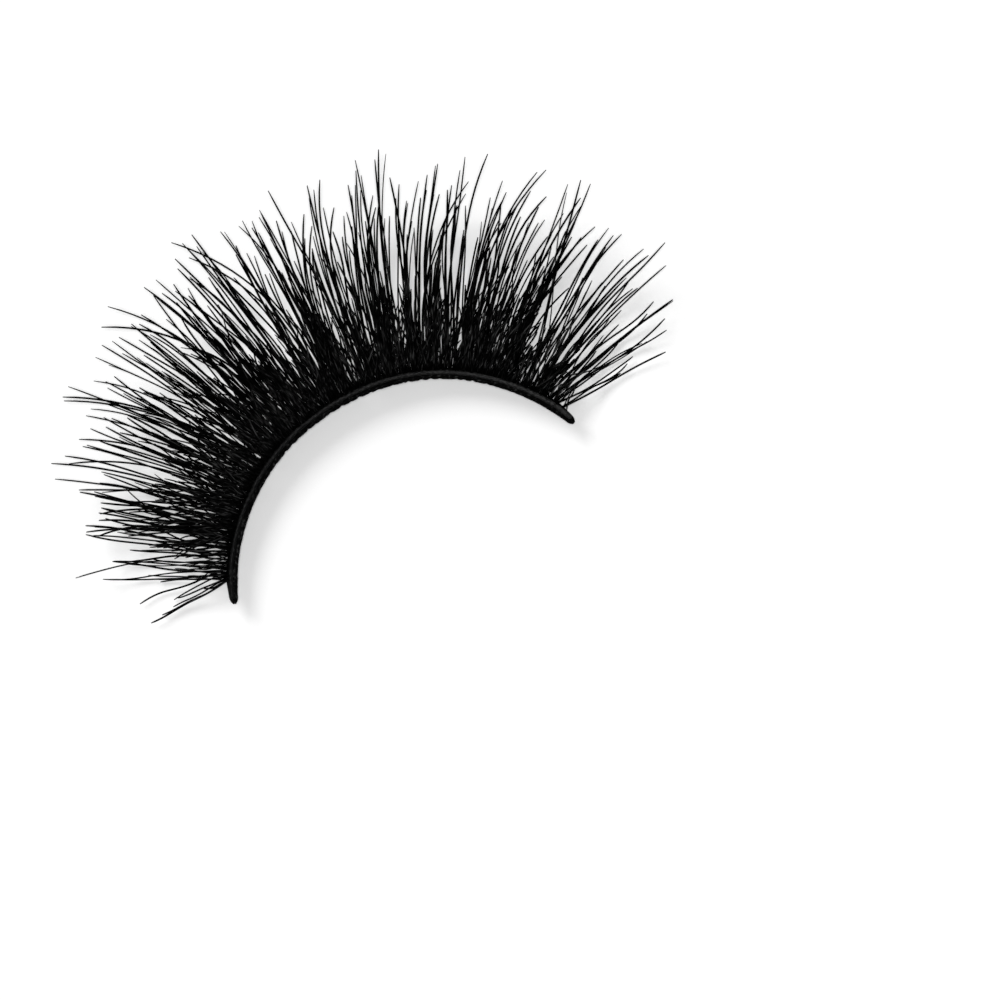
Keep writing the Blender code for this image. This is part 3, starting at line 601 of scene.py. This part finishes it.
def parted_reach(root, waist, tip, reach):
    """Return how far a short hair goes before it would cross a parting, and its angle there."""
    for radius in np.arange(PARTING_FIRST_RADIUS, reach, PARTING_STEP):
        along = (radius - PATH_START_RADIUS) / (reach - PATH_START_RADIUS)
        angle = path_angle(root, waist, tip, along)
        for parting_angle, parting_radius in PARTINGS:
            if radius > parting_radius and abs(angle - parting_angle) < PARTING_HALF_ANGLE:
                return radius, angle
    return reach, tip


def make_short_lashes():
    """Make the short lashes, which fill in between the long ones' roots and stop short of the partings."""
    source = np.random.default_rng(24)
    spans = []
    for left, right, hairs, _share, _spread in DENSITY:
        steps = (np.arange(hairs) + source.uniform(0.0, 1.0, hairs)) / hairs
        spans.append(left + (right - left) * steps)
    spans.append(np.linspace(-FILL_LAST_ANGLE, FILL_LAST_ANGLE, ROOT_HAIRS))
    roots = np.concatenate(spans)
    count = len(roots)
    at_root = np.arange(count) >= count - ROOT_HAIRS
    turns_aside = source.normal(0.0, 1.0, count) * np.where(at_root, ROOT_LEAN, FILL_LEAN)
    turns_aside *= np.clip((CALM_ANGLE - np.abs(roots)) / CALM_SPAN, CALM_SHARE, 1.0)
    leans = FILL_SIDE_LEAN * roots / FILL_SIDE_ANGLE + turns_aside
    shortest = np.where(at_root, ROOT_SHORTEST, FILL_SHORTEST)
    longest = np.where(at_root, ROOT_LONGEST, FILL_LONGEST)
    reaches = shortest + (longest - shortest) * source.uniform(0.0, 1.0, count)
    turns = np.degrees(np.tan(np.radians(leans)) * np.log(reaches / PATH_START_RADIUS))
    tips = np.clip(roots + turns, -FILL_LAST_ANGLE, FILL_LAST_ANGLE)
    locks = np.array([line for line in LOCKS for _hair in range(line[2])])
    lock_count = len(locks)
    lock_roots = locks[:, 0] * (1.0 - LOCK_LEAN) + source.normal(0.0, LOCK_ROOT_SPREAD, lock_count)
    lock_tips = locks[:, 0] * (1.0 + LOCK_LEAN) + source.normal(0.0, LOCK_TIP_SPREAD, lock_count)
    roots = np.concatenate((roots, lock_roots))
    tips = np.concatenate((tips, lock_tips))
    lock_reaches = locks[:, 1] * source.uniform(LOCK_SHORTEST, LOCK_LONGEST, lock_count)
    reaches = np.concatenate((reaches, np.maximum(lock_reaches, FILL_SHORTEST)))
    at_root = np.concatenate((at_root, np.zeros(lock_count, dtype=bool)))
    count += lock_count
    waists = (roots + tips) / 2 + source.normal(0.0, FILL_WAIST_SPREAD, count)
    for number in range(count):
        reach, tip = parted_reach(roots[number], waists[number], tips[number], reaches[number])
        if reach < reaches[number]:
            reaches[number] = reach
            waists[number] = (roots[number] + tip) / 2
            tips[number] = tip
    starts = source.uniform(FILL_LOWEST_START, FILL_HIGHEST_START, count)
    lifts = source.uniform(FILL_LOWEST_LIFT, FILL_HIGHEST_LIFT, count)
    centres = hair_centres(source, roots, waists, tips, reaches, np.ones(count), starts, lifts)
    radii = hair_radii(source, np.where(at_root, ROOT_HAIR_RADIUS, LOOSE_HAIR_RADIUS))
    return tubes("short_lashes_fill", centres, radii, HAIR_SIDES, source.uniform(0.0, 1.0, count))


def add_node(tree, kind, **values):
    """Add a shader node and set its inputs by name."""
    node = tree.nodes.new(kind)
    for key, value in values.items():
        node.inputs[key.replace("_", " ")].default_value = value
    return node


def add_ramp(tree, source, stops):
    """Add a colour ramp from a socket, with stops that each hold a position and a grey."""
    ramp = tree.nodes.new("ShaderNodeValToRGB")
    elements = ramp.color_ramp.elements
    while len(elements) < len(stops):
        elements.new(0.5)
    for element, (position, grey) in zip(elements, stops):
        element.position = position
        element.color = (grey, grey, grey, 1.0)
    tree.links.new(source, ramp.inputs["Fac"])
    return ramp


def make_material(name, stretch, scale, stops, roughness, specular, bump, fades):
    """Make a material whose colour, roughness and surface vary with noise along the piece's grain.

    Stops are the positions and greys of the colour ramp. Each fade holds an axis of the grain, two places on
    it and how much it takes off the noise at the first and at the second: taking off darkens the colour and
    makes its light streaks rarer, and a negative amount lightens it. On the hairs the light streaks are
    painted glints, and the fades of the hairs and the thread paint shade and highlights into the colour.
    """
    material = bpy.data.materials.new(name)
    material.use_nodes = True
    tree = material.node_tree
    surface = tree.nodes["Principled BSDF"]
    surface.inputs["Specular IOR Level"].default_value = specular
    grain = tree.nodes.new("ShaderNodeAttribute")
    grain.attribute_name = "grain"
    mapping = add_node(tree, "ShaderNodeMapping", Scale=stretch)
    tree.links.new(grain.outputs["Vector"], mapping.inputs["Vector"])
    noise = add_node(tree, "ShaderNodeTexNoise", Scale=scale, Detail=NOISE_DETAIL, Roughness=NOISE_ROUGHNESS)
    tree.links.new(mapping.outputs["Vector"], noise.inputs["Vector"])
    axes = tree.nodes.new("ShaderNodeSeparateXYZ")
    tree.links.new(grain.outputs["Vector"], axes.inputs["Vector"])
    level = noise.outputs["Fac"]
    for axis, start, end, start_loss, end_loss in fades:
        loss = add_node(
            tree, "ShaderNodeMapRange", From_Min=start, From_Max=end, To_Min=start_loss, To_Max=end_loss
        )
        tree.links.new(axes.outputs[axis], loss.inputs["Value"])
        kept = tree.nodes.new("ShaderNodeMath")
        kept.operation = "SUBTRACT"
        tree.links.new(level, kept.inputs[0])
        tree.links.new(loss.outputs["Result"], kept.inputs[1])
        level = kept.outputs["Value"]
    colour = add_ramp(tree, level, stops)
    tree.links.new(colour.outputs["Color"], surface.inputs["Base Color"])
    smoothest, roughest = roughness
    rough = add_node(
        tree, "ShaderNodeMapRange", From_Min=NOISE_LOW, From_Max=NOISE_HIGH, To_Min=smoothest, To_Max=roughest
    )
    tree.links.new(noise.outputs["Fac"], rough.inputs["Value"])
    tree.links.new(rough.outputs["Result"], surface.inputs["Roughness"])
    height = add_node(tree, "ShaderNodeBump", Strength=BUMP_STRENGTH, Distance=bump * MM)
    tree.links.new(noise.outputs["Fac"], height.inputs["Height"])
    tree.links.new(height.outputs["Normal"], surface.inputs["Normal"])
    return material


def make_floor():
    """Make the pale surface that the strip lies on."""
    bpy.ops.mesh.primitive_circle_add(vertices=96, radius=FLOOR_RADIUS * MM, fill_type="NGON")
    floor = bpy.context.object
    floor.name = "floor"
    material = bpy.data.materials.new("floor_white")
    material.use_nodes = True
    tree = material.node_tree
    surface = tree.nodes["Principled BSDF"]
    surface.inputs["Roughness"].default_value = 0.9
    surface.inputs["Specular IOR Level"].default_value = 0.0
    noise = add_node(tree, "ShaderNodeTexNoise", Scale=40.0, Detail=2.0)
    ramp = add_ramp(tree, noise.outputs["Fac"], ((0.0, FLOOR_DARKEST), (1.0, FLOOR_LIGHTEST)))
    tree.links.new(ramp.outputs["Color"], surface.inputs["Base Color"])
    floor.data.materials.append(material)
    return floor


def add_sun(name, energy, spread, elevation, heading):
    """Add a sun whose light comes down at an elevation and travels along a heading."""
    sun_data = bpy.data.lights.new(name, "SUN")
    sun_data.energy = energy
    sun_data.angle = math.radians(spread)
    sun = bpy.data.objects.new(name, sun_data)
    bpy.context.collection.objects.link(sun)
    sun.rotation_euler = (math.radians(90.0 - elevation), 0.0, math.radians(heading - 90.0))


def make_light():
    """Light the scene with a soft key light, a light overhead and an even sky."""
    add_sun("key_light", KEY_ENERGY, KEY_SPREAD, KEY_ELEVATION, KEY_HEADING)
    add_sun("overhead_light", OVERHEAD_ENERGY, OVERHEAD_SPREAD, 90.0, 0.0)
    world = bpy.data.worlds.new("sky")
    world.use_nodes = True
    background = world.node_tree.nodes["Background"]
    background.inputs["Color"].default_value = (1.0, 1.0, 1.0, 1.0)
    background.inputs["Strength"].default_value = SKY_STRENGTH
    bpy.context.scene.world = world
    bpy.context.scene.view_settings.view_transform = "Standard"


def make_camera():
    """Set the camera straight above the strip, turned as the strip is seen."""
    camera_data = bpy.data.cameras.new("camera")
    camera_data.sensor_width = CAMERA_SENSOR
    camera_data.lens = CAMERA_LENS
    camera_data.clip_start = 0.05
    camera_data.clip_end = 10.0
    camera = bpy.data.objects.new("camera", camera_data)
    bpy.context.collection.objects.link(camera)
    camera.location = (CAMERA_X * MM, CAMERA_Y * MM, CAMERA_HEIGHT * MM)
    camera.rotation_euler = (0.0, 0.0, math.radians(CAMERA_TURN))
    bpy.context.scene.camera = camera


def dress(piece, material, node):
    """Give a piece its material, and let it stand for a CAD node."""
    piece.data.materials.append(material)
    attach(piece, "root")
    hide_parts(node)


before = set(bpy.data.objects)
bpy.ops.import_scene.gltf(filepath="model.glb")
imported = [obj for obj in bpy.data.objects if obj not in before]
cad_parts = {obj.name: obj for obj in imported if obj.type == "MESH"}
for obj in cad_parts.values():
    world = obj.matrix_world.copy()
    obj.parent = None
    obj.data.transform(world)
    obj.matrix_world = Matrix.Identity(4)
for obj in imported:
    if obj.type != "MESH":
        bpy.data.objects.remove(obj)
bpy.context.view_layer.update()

cotton_stops = ((0.46, 0.0001), (0.55, 0.004), (0.66, 0.030))
# Hair ramp: near-black hairs of randomly varied tone. Its light end paints rare glints of sheen on the hairs.
hair_tone_and_glint_stops = ((0.465, 0.0001), (0.505, 0.0012), (0.56, 0.005), (0.65, 0.035))
band_fades = (("X", -13.0, -5.0, 0.0, 0.05),)
# The thread's fades paint a highlight. The thread is darker on its flanks so that its top stays lighter as if
# lit, and it grows lighter towards its right end.
thread_painted_highlight_fades = (("X", 4.0, 29.0, 0.0, -0.12), ("Y", 0.7, 1.35, 0.07, 0.0), ("Y", 1.65, 2.3, 0.0, 0.07))
# The hairs' fades paint shade at the roots, darker over the first 0.2 to 0.7 mm of each hair, and make the
# painted glints rarer from 2 to 8 mm along it.
hair_root_shade_and_glint_fades = (("X", 0.2, 0.7, 0.07, 0.0), ("X", 2.0, 8.0, 0.0, 0.045))
band_black = make_material(
    "band_black", (1.6, 2.0, 2.0), 3.0, cotton_stops, (0.55, 0.85), 0.02, 0.05, band_fades
)
thread_black = make_material(
    "thread_black", (1.2, 1.2, 1.0), 3.6, cotton_stops, (0.35, 0.75), 0.055, 0.03, thread_painted_highlight_fades
)
lash_black = make_material(
    "lash_black", (1.1, 0.4, 37.0), 1.0, hair_tone_and_glint_stops, (0.35, 0.6), 0.008, 0.004, hair_root_shade_and_glint_fades
)
dress(make_band(), band_black, "band")
dress(make_thread(), thread_black, "band_thread")
long_tables = (
    ("long_lashes_left", LEFT_STRANDS),
    ("long_lashes_centre", CENTRE_STRANDS),
    ("long_lashes_right", RIGHT_STRANDS),
)
for long_piece in make_long_lashes(long_tables):
    dress(long_piece, lash_black, "long_lashes")
dress(make_short_lashes(), lash_black, "short_lashes")
make_floor()
make_light()
make_camera()
